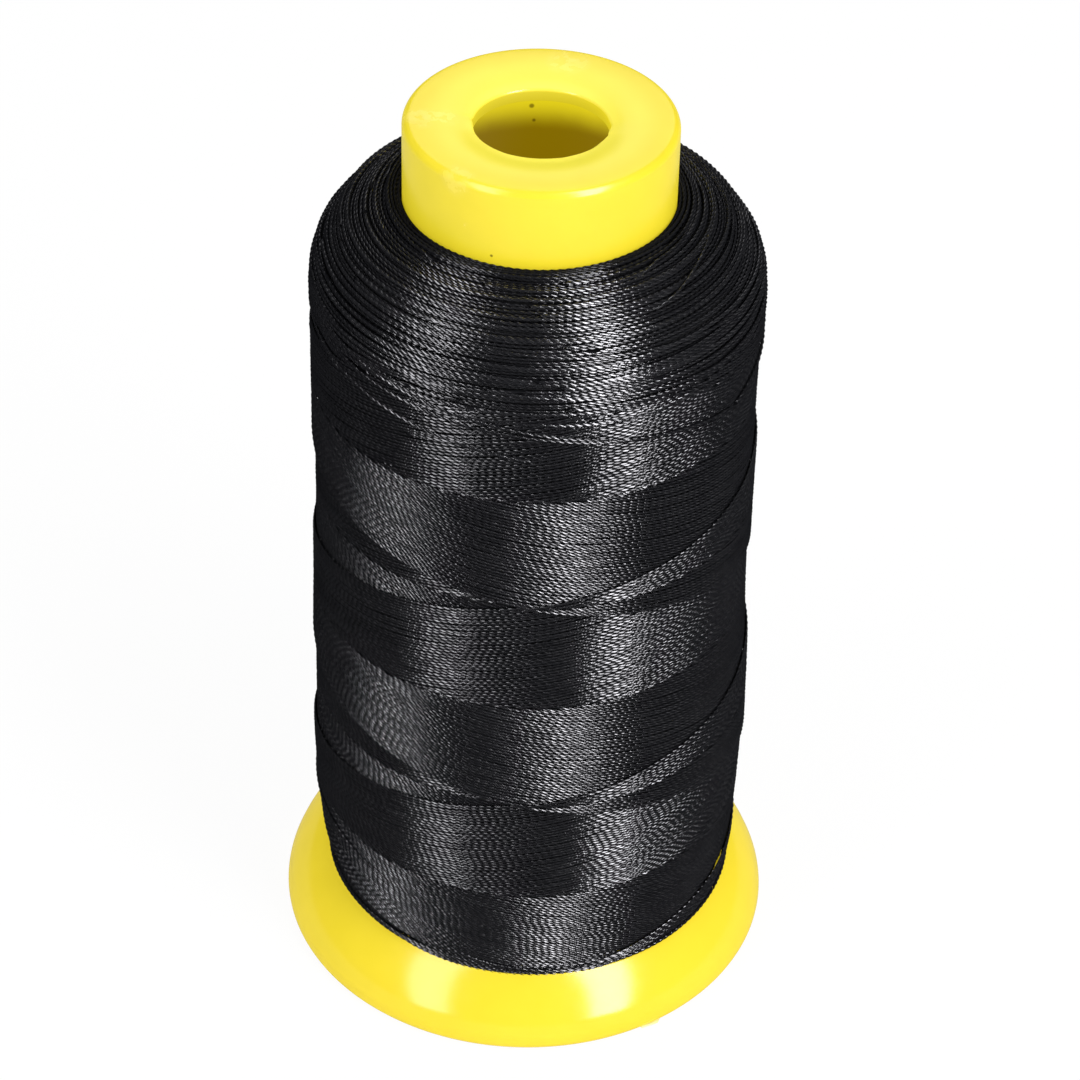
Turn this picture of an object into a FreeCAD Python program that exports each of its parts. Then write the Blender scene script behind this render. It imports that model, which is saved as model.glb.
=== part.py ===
"""King spool of twisted thread: a hollow moulded core with one thread wound on it.

Millimetres, +Z up, origin at the centre of the core's flat underside.
"""
import FreeCAD
import Part
import os
import re
import Sketcher
from FreeCAD import Rotation, Vector

# Driving dimensions: name, value in millimetres (or a count), what it measures.
DIMENSIONS = [
    ("total_height", 121.5, "underside to crown"),
    ("wall_thickness", 1.6, "moulded wall, the same all over"),
    ("bore_radius", 7.7, "spindle hole cut through the crown and the underside"),
    ("collar_radius", 16.1, "outside of the barrel and its bare collar"),
    ("crown_flat_radius", 12.5, "where the crown starts to dip towards the hole"),
    ("crown_dip", 1.05, "how far the crown sinks at the hole"),
    ("crown_round", 1.5, "edge between collar and crown"),
    ("flange_radius", 32.0, "widest radius, low on the flange's wall"),
    ("flange_wall_height", 2.0, "where the flange's wall starts to lean in"),
    ("flange_edge_radius", 30.0, "corner between the flange's wall and its cone"),
    ("flange_edge_height", 7.05, "height of that corner"),
    ("cone_root_height", 15.2, "where the flange's cone meets the barrel"),
    ("rim_round", 1.2, "bottom edge of the flange"),
    ("wall_round", 3.5, "bend where the flange's wall starts to lean in"),
    ("flange_edge_round", 11.0, "shoulder of the flange"),
    ("root_round", 2.0, "inside corner between cone and barrel"),
    ("foot_radius", 26.4, "thread package where it rests on the flange"),
    ("foot_step_radius", 26.95, "thread package just above its rounded foot"),
    ("foot_step_height", 10.6, "height of that step"),
    ("belly_radius", 28.05, "fullest part of the thread package"),
    ("belly_height", 29.0, "height of the fullest part"),
    ("waist_radius", 27.35, "thread package half way up"),
    ("waist_height", 56.0, "height of the waist"),
    ("neck_radius", 27.1, "thread package under its round shoulder"),
    ("neck_height", 100.2, "where the round shoulder starts"),
    ("package_top_height", 111.2, "thread package at the collar"),
    ("thread_diameter", 0.44, "one twisted thread"),
    ("lay_clearance", 0.02, "air between a loose turn and what it lies on"),
    ("foot_turns_drop", 1.15, "how far below the step of the foot those turns start"),
    ("foot_turn_count", 3.25, "loose last turns round the foot"),
    ("collar_turn_count", 2.5, "loose turns round the collar"),
]

# Slope of the flange's cone, and the slant of one wall thickness measured straight down.
CONE_SLOPE = "((cone_root_height - flange_edge_height) / (flange_edge_radius - collar_radius))"
CONE_WALL = f"(wall_thickness * sqrt(1 + {CONE_SLOPE} * {CONE_SLOPE}))"

# How far the middle of a quarter round lies towards its corner, as a share of its radius.
QUARTER_MIDDLE = "cos(45)"

document = FreeCAD.newDocument("thread_spool")
sheet = document.addObject("Spreadsheet::Sheet", "Dimensions")
for row, (alias, number, meaning) in enumerate(DIMENSIONS, start=1):
    sheet.set(f"A{row}", meaning)
    sheet.set(f"B{row}", str(number))
    sheet.setAlias(f"B{row}", alias)
document.recompute()


def bound(text):
    """Turn plain dimension names in an expression into references to the sheet."""
    names = {alias for alias, number, meaning in DIMENSIONS}
    return re.sub(r"[a-z_]+", lambda word: f"Dimensions.{word[0]}" if word[0] in names else word[0], text)


def size(text):
    """Value of an expression on the sheet's dimensions."""
    return float(sheet.evalExpression(bound(text)))


def bind(feature, path, text):
    feature.setExpression(path, bound(text))


def origin_plane(body, role):
    """One of a body's own origin planes."""
    return next(plane for plane in body.Origin.OriginFeatures if plane.Role == role)


def new_body(label):
    body = document.addObject("PartDesign::Body", label)
    body.Label = label
    return body


def new_sketch(body, name, role):
    sketch = body.newObject("Sketcher::SketchObject", name)
    sketch.AttachmentSupport = (origin_plane(body, role), [""])
    sketch.MapMode = "FlatFace"
    return sketch


def pin_point(sketch, geometry, end, radius, height):
    """Hold a sketch point at a radius from the axis and a height above the underside."""
    across, up = ("DistanceX", -2, radius), ("DistanceY", -1, height)
    for kind, axis, text in (across, up):
        if size(text) == 0:
            sketch.addConstraint(Sketcher.Constraint("PointOnObject", geometry, end, axis))
            continue
        index = sketch.addConstraint(Sketcher.Constraint(kind, -1, 1, geometry, end, size(text)))
        bind(sketch, f"Constraints[{index}]", text)


def closed_outline(body, name, corners):
    """Sketch a closed outline in the body's radius and height plane.

    A corner is (radius, height), or (radius, height, via_radius, via_height) when the
    edge that leaves it is an arc through the second point.
    """
    sketch = new_sketch(body, name, "XZ_Plane")
    points = [Vector(size(corner[0]), size(corner[1]), 0) for corner in corners]
    leaving, arriving = [], []
    for index, corner in enumerate(corners):
        start, finish = points[index], points[(index + 1) % len(points)]
        if len(corner) == 2:
            edge = sketch.addGeometry(Part.LineSegment(start, finish), False)
        else:
            via = Vector(size(corner[2]), size(corner[3]), 0)
            edge = sketch.addGeometry(Part.Arc(start, via, finish), False)
            marker = sketch.addGeometry(Part.Point(via), True)
            pin_point(sketch, marker, 1, corner[2], corner[3])
            sketch.addConstraint(Sketcher.Constraint("PointOnObject", marker, 1, edge))
        first_end_is_start = sketch.getPoint(edge, 1).isEqual(start, 1e-6)
        leaving.append((edge, 1 if first_end_is_start else 2))
        arriving.append((edge, 2 if first_end_is_start else 1))
    for index, corner in enumerate(corners):
        sketch.addConstraint(Sketcher.Constraint("Coincident", *arriving[index - 1], *leaving[index]))
        pin_point(sketch, *leaving[index], corner[0], corner[1])
    return sketch


def turned(body, kind, name, outline):
    """Revolve an outline round the body's Z axis, as a Revolution or a Groove."""
    feature = body.newObject(f"PartDesign::{kind}", name)
    feature.Profile = outline
    feature.ReferenceAxis = (outline, ["V_Axis"])
    feature.Angle = 360
    document.recompute()
    return feature


def rounded(body, name, base, radius, height, rounding):
    """Fillet the circular edge that lies at a radius and height."""
    centre = Vector(0, 0, size(height))
    edges = []
    for number, edge in enumerate(base.Shape.Edges, start=1):
        circle = isinstance(edge.Curve, Part.Circle)
        if circle and abs(edge.Curve.Radius - size(radius)) < 0.01 and edge.Curve.Center.isEqual(centre, 0.01):
            edges.append(f"Edge{number}")
    fillet = body.newObject("PartDesign::Fillet", name)
    fillet.Base = (base, edges)
    bind(fillet, "Radius", rounding)
    document.recompute()
    return fillet


def make_core():
    """The moulded core: flange, barrel and collar in one hollow wall, open at both ends."""
    body = new_body("spool_core")
    outside = closed_outline(body, "core_outside", [
        ("0", "0"),
        ("flange_radius", "0"),
        ("flange_radius", "flange_wall_height"),
        ("flange_edge_radius", "flange_edge_height"),
        ("collar_radius", "cone_root_height"),
        ("collar_radius", "total_height"),
        ("crown_flat_radius", "total_height"),
        ("bore_radius", "total_height - crown_dip"),
        ("0", "total_height - crown_dip"),
    ])
    solid = turned(body, "Revolution", "moulded_outside", outside)
    solid = rounded(body, "rim_rounding", solid, "flange_radius", "0", "rim_round")
    solid = rounded(body, "wall_bend", solid, "flange_radius", "flange_wall_height", "wall_round")
    solid = rounded(body, "flange_shoulder", solid, "flange_edge_radius", "flange_edge_height",
                    "flange_edge_round")
    solid = rounded(body, "barrel_root", solid, "collar_radius", "cone_root_height", "root_round")
    solid = rounded(body, "crown_rounding", solid, "collar_radius", "total_height", "crown_round")

    inner_edge = "flange_edge_radius - wall_thickness"
    inside = closed_outline(body, "core_inside", [
        ("0", "wall_thickness"),
        ("flange_radius - wall_thickness", "wall_thickness"),
        (inner_edge, f"flange_edge_height + wall_thickness * {CONE_SLOPE} - {CONE_WALL}"),
        ("collar_radius - wall_thickness", f"cone_root_height + wall_thickness * {CONE_SLOPE} - {CONE_WALL}"),
        ("collar_radius - wall_thickness", "total_height - wall_thickness"),
        ("crown_flat_radius", "total_height - wall_thickness"),
        ("bore_radius", "total_height - crown_dip - wall_thickness"),
        ("0", "total_height - crown_dip - wall_thickness"),
    ])
    solid_volume = solid.Shape.Volume
    hollow = turned(body, "Groove", "hollow_inside", inside)
    assert hollow.Shape.Volume < 0.5 * solid_volume, "the hollow was not cut"

    circle = new_sketch(body, "spindle_hole_outline", "XY_Plane")
    edge = circle.addGeometry(Part.Circle(Vector(0, 0, 0), Vector(0, 0, 1), size("bore_radius")), False)
    circle.addConstraint(Sketcher.Constraint("Coincident", edge, 3, -1, 1))
    index = circle.addConstraint(Sketcher.Constraint("Radius", edge, size("bore_radius")))
    bind(circle, f"Constraints[{index}]", "bore_radius")
    hole = body.newObject("PartDesign::Pocket", "spindle_holes")
    hole.Profile = circle
    hole.Type = "ThroughAll"
    hole.Reversed = True
    document.recompute()
    assert hole.Shape.Volume < hollow.Shape.Volume - 300, "the spindle holes were not cut"
    return body


def make_package():
    """The cross-wound thread round the barrel, down to the flange's cone."""
    body = new_body("thread_package")
    past_root = "(root_round + wall_thickness / 2)"
    shoulder_width, shoulder_height = "(neck_radius - collar_radius)", "(package_top_height - neck_height)"
    outline = closed_outline(body, "package_outline", [
        ("foot_radius", f"flange_edge_height + (flange_edge_radius - foot_radius) * {CONE_SLOPE}"),
        ("foot_step_radius", "foot_step_height", "belly_radius", "belly_height"),
        ("waist_radius", "waist_height"),
        ("neck_radius", "neck_height", f"collar_radius + {shoulder_width} * {QUARTER_MIDDLE}",
         f"neck_height + {shoulder_height} * {QUARTER_MIDDLE}"),
        ("collar_radius", "package_top_height"),
        ("collar_radius", f"cone_root_height + {past_root}"),
        (f"collar_radius + {past_root}", f"cone_root_height - {past_root} * {CONE_SLOPE}"),
    ])
    turned(body, "Revolution", "wound_thread", outline)
    return body


def make_turns(label, path, start):
    """An eight-sided thread swept along a path that starts at a point in the XZ plane."""
    section = document.addObject("Part::RegularPolygon", f"{label}_section")
    section.Polygon = 8
    bind(section, "Circumradius", "thread_diameter / 2")
    section.Placement = FreeCAD.Placement(Vector(0, 0, 0), Rotation(Vector(1, 0, 0), 90))
    bind(section, "Placement.Base.x", start[0])
    bind(section, "Placement.Base.z", start[1])
    document.recompute()
    turns = document.addObject("Part::Sweep", label)
    turns.Label = label
    turns.Sections = [section]
    turns.Spine = (path, [f"Edge{number + 1}" for number in range(len(path.Shape.Edges))])
    turns.Solid = True
    turns.Frenet = True
    return turns


def make_foot_turns():
    """The last turns of the thread, laid round the foot of the package as a helix."""
    radius = "foot_step_radius + thread_diameter / 2 + lay_clearance"
    start = "foot_step_height - foot_turns_drop"
    path = document.addObject("Part::Helix", "foot_turns_path")
    bind(path, "Pitch", "thread_diameter + lay_clearance")
    bind(path, "Height", "(thread_diameter + lay_clearance) * foot_turn_count")
    bind(path, "Radius", radius)
    bind(path, "Placement.Base.z", start)
    return make_turns("foot_turns", path, (radius, start))


def make_collar_turns():
    """The loose turns that lie on top of the shoulder, close round the collar, as a flat spiral."""
    radius = "collar_radius + thread_diameter / 2 + 2 * lay_clearance"
    height = "package_top_height + thread_diameter / 2 + lay_clearance"
    path = document.addObject("Part::Spiral", "collar_turns_path")
    bind(path, "Growth", "thread_diameter + lay_clearance")
    bind(path, "Rotations", "collar_turn_count")
    bind(path, "Radius", radius)
    bind(path, "Placement.Base.z", height)
    return make_turns("collar_turns", path, (radius, height))


nodes = [make_core(), make_package(), make_foot_turns(), make_collar_turns()]
document.recompute()

for item in document.Objects:
    if {"Invalid", "Error"} & set(item.State):
        raise RuntimeError(f"{item.Name} failed: {item.State}")
for node in nodes:
    if node.Shape.isNull() or not node.Shape.isValid() or len(node.Shape.Solids) != 1:
        raise RuntimeError(f"{node.Label} has no single valid solid")

os.makedirs("parts", exist_ok=True)
for node in nodes:
    node.Shape.exportStep(f"parts/{node.Label}.step")
    box = node.Shape.optimalBoundingBox()
    print(f"{node.Label:16s} volume {node.Shape.Volume:10.1f}  "
          f"radius {box.XMax:6.2f}  height {box.ZMin:7.2f} to {box.ZMax:7.2f}")
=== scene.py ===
"""Looks of a tall thread spool: a glossy moulded core and the twisted thread wound on it.

Metres, +Z up, origin at the centre of the core's flat underside. Azimuth 0 is the front of
the spool (-Y) and grows towards +X. The thread is wound crosswise: one family of turns rises
towards +X and the other falls, and the two take turns at lying on top.
"""

import math

import bmesh
import bpy
import numpy as np
from mathutils import Matrix, Vector


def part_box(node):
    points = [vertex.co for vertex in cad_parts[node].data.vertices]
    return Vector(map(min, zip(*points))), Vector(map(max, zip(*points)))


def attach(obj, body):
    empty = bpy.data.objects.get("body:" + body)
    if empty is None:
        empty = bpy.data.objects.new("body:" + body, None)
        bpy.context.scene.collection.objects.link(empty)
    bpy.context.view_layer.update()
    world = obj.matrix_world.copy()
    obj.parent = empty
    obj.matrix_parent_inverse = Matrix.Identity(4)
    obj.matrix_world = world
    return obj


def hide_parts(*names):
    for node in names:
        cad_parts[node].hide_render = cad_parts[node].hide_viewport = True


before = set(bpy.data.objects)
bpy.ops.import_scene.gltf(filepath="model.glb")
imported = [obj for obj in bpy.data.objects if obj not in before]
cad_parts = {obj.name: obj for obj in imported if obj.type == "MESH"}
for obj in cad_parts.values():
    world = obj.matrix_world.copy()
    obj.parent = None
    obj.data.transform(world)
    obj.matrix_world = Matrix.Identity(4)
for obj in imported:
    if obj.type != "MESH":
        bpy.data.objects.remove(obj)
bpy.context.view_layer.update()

MM = 0.001
TURN = 2 * math.pi
random = np.random.default_rng(7)

# Sizes that the frame gives.
core_low, core_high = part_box("spool_core")
package_low, package_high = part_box("thread_package")
TOTAL_HEIGHT = core_high.z
FLANGE_RADIUS = core_high.x
PACKAGE_FOOT = package_low.z
PACKAGE_TOP = package_high.z

# The moulded core.
WALL = 1.6 * MM
BORE_RADIUS = 7.7 * MM
BORE_OVALNESS = 0.03
COLLAR_RADIUS = 16.1 * MM
CROWN_FLAT_RADIUS = 12.5 * MM
CROWN_EDGE_DROP = 0.35 * MM
CROWN_DIP = 1.05 * MM
HOLE_EDGE_HEIGHT = TOTAL_HEIGHT - CROWN_DIP
FLANGE_EDGE_RADIUS = 30.0 * MM
FLANGE_EDGE_HEIGHT = 7.05 * MM
FLANGE_WALL_HEIGHT = 2.0 * MM
CONE_ROOT_HEIGHT = 15.2 * MM
CORE_STEPS = 256
# Cuts of the knife that made the hole: azimuth in degrees, slip outwards in mm, spread in degrees.
KNIFE_SLIPS = [(91, 0.16, 8), (80, -0.07, 7), (75, 0.07, 4), (61, -0.10, 12), (20, 0.05, 7), (-30, 0.04, 9),
               (-84, -0.06, 9), (-95, 0.20, 4), (150, 0.05, 15)]
# How far from the hole's edge the slips still pull the crown, and the width over which they fade.
SLIP_REACH = 1.5 * MM
SLIP_FADE = 1.2 * MM
# Marks of the mould and of handling, and a painted highlight on the crown's left rim at -9.5, -12.9: x, y, z
# and reach in mm.
PALE_SMEARS_AND_RIM_HIGHLIGHT = [(-13.3, -1.0, 121.4, 2.4), (-14.7, -0.4, 121.3, 1.7), (-11.0, -0.4, 121.2, 1.9),
               (-9.5, -12.9, 121.0, 2.6), (-8.1, -13.9, 115.2, 0.6), (3.0, 12.5, 121.3, 3.0)]
DARK_SPECKS = [(-1.2, 14.45, 113.9, 0.42), (-0.9, 14.45, 111.9, 0.30), (4.7, 13.7, 114.9, 0.26),
               (-5.3, -15.2, 112.2, 0.24), (-16.8, -26.05, 6.5, 0.20)]

# The sliver of flash on the flange's lower edge: from one end to the other, its azimuth in degrees
# and how far it reaches, in mm.
FLASH_SHARES = [0, 0.8, 1]
FLASH_AZIMUTHS = [29.5, 33.5, 34.5]
FLASH_REACHES = [0.30, 0.66, 0.27]
FLASH_ROOT_DEPTH = 0.25 * MM
FLASH_HEIGHT = 0.60 * MM
FLASH_LIFT = 0.20 * MM
FLASH_THICKNESS = 0.12 * MM

# The thread package: its radius at some heights, the round shoulder above them, and how far the
# package leans towards +X at some heights.
BODY_HEIGHTS = np.array([8.0, 9.15, 10.6, 20.0, 29.0, 44.0, 56.0, 68.0, 85.0, 100.2]) * MM
BODY_RADII = np.array([26.1, 26.5, 26.95, 27.7, 28.0, 27.75, 27.35, 27.2, 27.1, 27.05]) * MM
SHOULDER_HEIGHT = 100.2 * MM
SHOULDER_FULLNESS = 1.12
LEAN_HEIGHTS = np.array([9.0, 60.0, 98.0, 111.0]) * MM
LEAN_ACROSS = np.array([0.35, 0.0, 0.05, 0.0]) * MM

# The bed: how deep it lies under the package's surface, and how far it keeps from the package's foot,
# from its collar end, from the cone's root and from the barrel.
BED_DEPTH = 0.62 * MM
BED_FOOT_GAP = 0.4 * MM
BED_COLLAR_GAP = 0.3 * MM
BED_ROOT_GAP = 2.5 * MM
BED_BARREL_GAP = 0.02 * MM
BED_STEPS = 160

# One twisted thread. Each ply takes two rows of the mesh, its crest and its valley.
THREAD_RADIUS = 0.228 * MM
TWIST_PITCH = 2.9 * MM
PLIES = 3
ROW_GAP = TWIST_PITCH / (2 * PLIES)
PLY_VALLEY = 0.56
PLY_ROUNDNESS = 3.7
PLY_BUMP = 0.05 * MM
FIBRE_LEAN = 0.052
LOOK_AHEAD = 0.05 * MM

# How the thread is wound crosswise. The relief is how much higher the first turn from a crossing
# lies than the last, and the dive is how far a thread goes down to pass under another. The overlap,
# the unevenness and the dive's reach are counted in threads.
THREADS_PER_TURN = 71
WIND_PITCH = 31.2 * MM
CROSSINGS = 6
FIRST_CROSSING_HEIGHT = 8.1 * MM
FIRST_CROSSING_AZIMUTH = math.radians(-3)
LAY_RELIEF = 0.40 * MM
LAY_DIVE = 0.36 * MM
LAY_OVERLAP = 2.2
LAY_UNEVENNESS = 0.08
DIVE_REACH = 0.7
LAYS_START = PACKAGE_FOOT - 0.5 * MM
LAYS_END = 98.5 * MM

# How threads drift: size of the drift, its shortest wave and its longest.
LAY_DRIFT_ACROSS = (0.035 * MM, 9 * MM, 34 * MM)
LAY_DRIFT_OUTWARD = (0.022 * MM, 5 * MM, 22 * MM)
LEVEL_DRIFT_ACROSS = (0.06 * MM, 18 * MM, 70 * MM)
LOOSE_DRIFT_ACROSS = (0.14 * MM, 18 * MM, 70 * MM)
LEVEL_DRIFT_OUTWARD = (0.03 * MM, 8 * MM, 30 * MM)
LEAVING_DRIFT_ACROSS = (0.05 * MM, 15 * MM, 50 * MM)

# Level turns of the shoulder, lowest at the front. Starts are counted up the package's outline and
# ends down from the collar.
LEVEL_LIFT = 0.4 * MM
FILL_START = 96.0 * MM
FILL_END = 1.3 * MM
FILL_GAP = 0.45 * MM
FILL_PROUDNESS = (-0.30, -0.14)
LOOSE_START = 97.5 * MM
LOOSE_END = 0.7 * MM
LOOSE_SWELL = 1.22
# Rounds of loose turns: gap, greatest tilt, least and greatest proudness in mm, share of a turn.
LOOSE_ROUNDS = [(0.90, 1.5, -0.06, 0.08, 0.9), (1.20, 3.0, 0.10, 0.24, 0.8)]
# A loose turn's length and the gap after it are multiplied by a number between these.
LOOSE_SHORTENING = (0.6, 1.0)
LOOSE_SPACING = (0.6, 1.4)
# Strands that leave the body for the shoulder: least and greatest of each size in mm, and of the
# share of a turn.
LEAVING_STRANDS = 16
LEAVING_START = (91, 97)
LEAVING_CLIMB = (8, 15)
LEAVING_PROUDNESS = (0.18, 0.28)
LEAVING_SHARE = (0.35, 0.6)

# Turns at the foot: mm up from it and mm proud. Turns round the collar: mm down from it, mm proud
# and share of a turn.
FOOT_TURNS = [(0.12, 0.16), (0.54, 0.10)]
FOOT_TILT = 0.2 * MM
COLLAR_TURNS = [(0.36, 0.16, 1.0), (0.79, 0.26, 1.0), (1.22, 0.32, 0.9), (1.65, 0.40, 0.6)]
COLLAR_TURN_START = (0.85 * math.pi, 1.15 * math.pi)
COLLAR_TURN_TILT = (-0.1 * MM, 0.0)

# Single threads that stray over the others: azimuth in degrees, mm up the outline, mm proud.
STRAY_THINNESS = 0.85
LAST_THREAD = [(-25, 11.6, -0.2), (-10, 10.3, 0.30), (8, 9.5, 0.55), (20, 9.3, 0.68), (40, 9.3, 0.72),
               (75, 9.35, 0.56), (100, 9.5, 0.30), (120, 9.8, -0.2)]
LOW_STRAY = [(-115, 24.0, -0.2), (-95, 22.6, 0.40), (-74, 21.8, 0.46), (-62, 21.5, 0.46), (-50, 20.6, 0.40),
             (-38, 20.0, 0.10), (-30, 19.8, -0.2)]
# The same, with the second number as mm down from the collar.
HIGH_STRAY = [(36, 8.0, 0.0), (45, 7.2, 0.50), (53, 6.2, 0.62), (62, 5.4, 0.55), (75, 4.6, 0.2)]
NECK_STRAY = [(36, 3.6, 0.0), (45, 2.9, 0.50), (53, 2.8, 0.58), (60, 2.7, 0.50), (72, 2.2, 0.1)]
# Threads that sag one above the other at the front of the foot: how far up the lowest one hangs and
# how far it stands proud, in mm, and how much higher and less proud each next one is.
SAGGING_THREADS = 4
SAG_LOWEST = 8.65
SAG_STEP_UP = 0.17
SAG_PROUD = 0.74
SAG_STEP_IN = 0.15

# Colours of the core. Its glow is painted light: it stands for the light that the cloudy plastic passes on,
# and evens out its shade.
YELLOW_DULL = (0.47, 0.375, 0.017, 1)
YELLOW_CLEAR = (0.51, 0.405, 0.022, 1)
YELLOW_SMEAR_AND_HIGHLIGHT = (0.66, 0.58, 0.26, 1)
YELLOW_PAINTED_RING = (0.63, 0.50, 0.07, 1)
YELLOW_LIT_INSIDE = (0.06, 0.05, 0.001, 1)
YELLOW_SHADED_INSIDE = (0.02, 0.013, 0.0, 1)
SPECK_BROWN = (0.10, 0.06, 0.002, 1)
GLOW_COLLAR = (0.34, 0.285, 0.007, 1)
GLOW_FLANGE = (0.37, 0.280, 0.008, 1)
PAINTED_CROWN_LIGHT = (0.38, 0.375, 0.040, 1)
GLOW_LIT_INSIDE = (0.72, 0.59, 0.011, 1)
GLOW_SHADED_INSIDE = (0.205, 0.129, 0.0004, 1)
GLOW_CUT_LOW = (0.62, 0.505, 0.008, 1)
GLOW_CUT_HIGH = (0.72, 0.59, 0.009, 1)
NO_GLOW = (0.0, 0.0, 0.0, 1)
FLASH_DULL = (0.50, 0.46, 0.20, 1)
FLASH_CLEAR = (0.56, 0.52, 0.28, 1)
GLOW_FLASH = (0.34, 0.33, 0.14, 1)

# Colours of the thread.
THREAD_DARK = (0.0062, 0.0063, 0.0074, 1)
THREAD_LIGHT = (0.0086, 0.0087, 0.0100, 1)
BED_DARK = (0.004, 0.004, 0.005, 1)
BED_LIGHT = (0.008, 0.008, 0.009, 1)
SHEEN_TINT = (0.96, 0.95, 1.0, 1)

# Where the looks change: each pair gives the start and the end of a smooth change. The cut is the
# knife's cut in the crown, and the painted shade inside the barrel has a ragged edge.
PAINTED_RING_EDGE = (BORE_RADIUS + 0.3 * MM, BORE_RADIUS + 1.8 * MM)
CUT_EDGE = (BORE_RADIUS + 0.4 * MM, BORE_RADIUS + 0.6 * MM)
CUT_TOP = (HOLE_EDGE_HEIGHT - 0.34 * MM, HOLE_EDGE_HEIGHT - 0.14 * MM)
CUT_BOTTOM = (PACKAGE_TOP, PACKAGE_TOP + 1 * MM)
INNER_WALL_EDGE = (COLLAR_RADIUS - 1.3 * MM, COLLAR_RADIUS - 0.9 * MM)
BARREL_CEILING = (TOTAL_HEIGHT - 1.9 * MM, TOTAL_HEIGHT - 1.5 * MM)
BARREL_FLOOR = (1.7 * MM, 1.9 * MM)
CROWN_START = (TOTAL_HEIGHT - 1.5 * MM, TOTAL_HEIGHT - 1.1 * MM)
CROWN_RIM = (CROWN_FLAT_RADIUS - 1.5 * MM, CROWN_FLAT_RADIUS + 2 * MM)
SHADE_INSIDE = (PACKAGE_TOP - 0.8 * MM, PACKAGE_TOP + 3.6 * MM)
COLLAR_START = (PACKAGE_TOP - 3.5 * MM, PACKAGE_TOP + 2.5 * MM)
SHEEN_ON_PLY = (0.36, 0.60)
SHEEN_EDGE_ON = (0.27, 0.64)
SHOULDER_START = (94 * MM, 102 * MM)
NECK_START = (109 * MM, 110 * MM)
NECK_CLOSENESS = (0.0, 0.13)

# How strong some of these changes are. Threads next to the collar are dull, out to NECK_RADIUS.
SHADE_RAGGEDNESS = 1.6 * MM
SHEEN_LEAST = 0.27
SHEEN_STROKES = 0.62
STROKE_SEEDS = 997
EDGE_DULLING = 0.98
SHOULDER_BRIGHTENING = 0.24
NECK_RADIUS = 19.6 * MM
NECK_DULLING = 0.85

# The stage. The floor lies a little below the core's underside, so that the two don't coincide.
FLOOR_SIZE = 6.0
FLOOR_DROP = 0.02 * MM
FLOOR_GREY = (0.86, 0.86, 0.86, 1)
FLOOR_SEEN = 0.93
FLOOR_MIRROR_LOSS = 0.78
MIRRORED_DAYLIGHT = 0.03
DAYLIGHT = 0.55
WHITE = (1, 1, 1, 1)
# Softboxes: name; azimuth, elevation and lean in degrees; distance, width and length in metres;
# radiance.
SOFTBOXES = [("left_softbox", -46, 33, -15, 0.80, 0.26, 1.08, 3.65),
             ("right_softbox", 44, 34, 13, 0.80, 0.26, 1.08, 8.6),
             ("back_softbox", 178, 52, 0, 1.00, 0.60, 1.10, 0.8)]
CAMERA_PLACE = (0, -0.3447, 0.3340)
CAMERA_PITCH = math.radians(38.57)
CAMERA_YAW = math.radians(0.175)
CAMERA_ROLL = math.radians(1.447)
LENS_LENGTH = 116.65
SENSOR_WIDTH = 36


def smooth_step(values):
    share = np.clip(values, 0, 1)
    return share * share * (3 - 2 * share)


# ---------------------------------------------------------------- surface of the package

def eased(values, reach):
    """Smooth a row of values over reach neighbours on either side."""
    window = np.hanning(2 * reach + 1)
    return np.convolve(np.pad(values, reach, mode="edge"), window / window.sum(), mode="valid")


def package_profile():
    """Distance up the package's outline, with its radius, its height and its outward normal."""
    heights = np.linspace(BODY_HEIGHTS[0], BODY_HEIGHTS[-1], 400)
    radii = eased(np.interp(heights, BODY_HEIGHTS, BODY_RADII), 20)
    quarter = np.linspace(0, math.pi / 2, 200)[1:]
    width = radii[-1] - COLLAR_RADIUS
    rise = PACKAGE_TOP - SHOULDER_HEIGHT
    shoulder_radii = COLLAR_RADIUS + width * np.clip(np.cos(quarter), 0, 1) ** SHOULDER_FULLNESS
    shoulder_heights = SHOULDER_HEIGHT + rise * np.sin(quarter) ** SHOULDER_FULLNESS
    radius = np.concatenate([radii, shoulder_radii])
    height = np.concatenate([heights, shoulder_heights])
    step = np.hypot(np.diff(radius), np.diff(height))
    along = BODY_HEIGHTS[0] + np.concatenate([[0], np.cumsum(step)])
    out = np.gradient(height, along)
    up = -np.gradient(radius, along)
    size = np.hypot(out, up)
    return along, radius, height, out / size, up / size


ALONG, RADIUS, HEIGHT, NORMAL_OUT, NORMAL_UP = package_profile()
COLLAR_ALONG = ALONG[-1]


def package_normal(azimuth, along):
    out = np.interp(along, ALONG, NORMAL_OUT)
    up = np.interp(along, ALONG, NORMAL_UP)
    return np.stack([out * np.sin(azimuth), -out * np.cos(azimuth), up], axis=-1)


def on_package(azimuth, along, proud):
    """Point at an azimuth and a distance up the outline, proud of the package's surface."""
    radius = np.interp(along, ALONG, RADIUS)
    height = np.interp(along, ALONG, HEIGHT)
    lean = np.interp(height, LEAN_HEIGHTS, LEAN_ACROSS)
    point = np.stack([radius * np.sin(azimuth) + lean, -radius * np.cos(azimuth), height], axis=-1)
    return point + package_normal(azimuth, along) * np.asarray(proud)[..., None]


# ---------------------------------------------------------------- making meshes

def finish_piece(mesh, name, material, replaced=()):
    """Turn a bmesh into a smooth piece of the object that rides on the core."""
    data = bpy.data.meshes.new(name)
    mesh.to_mesh(data)
    mesh.free()
    data.polygons.foreach_set("use_smooth", [True] * len(data.polygons))
    data.materials.append(material)
    piece = bpy.data.objects.new(name, data)
    bpy.context.scene.collection.objects.link(piece)
    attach(piece, "root")
    if replaced:
        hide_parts(*replaced)
    return piece


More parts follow.
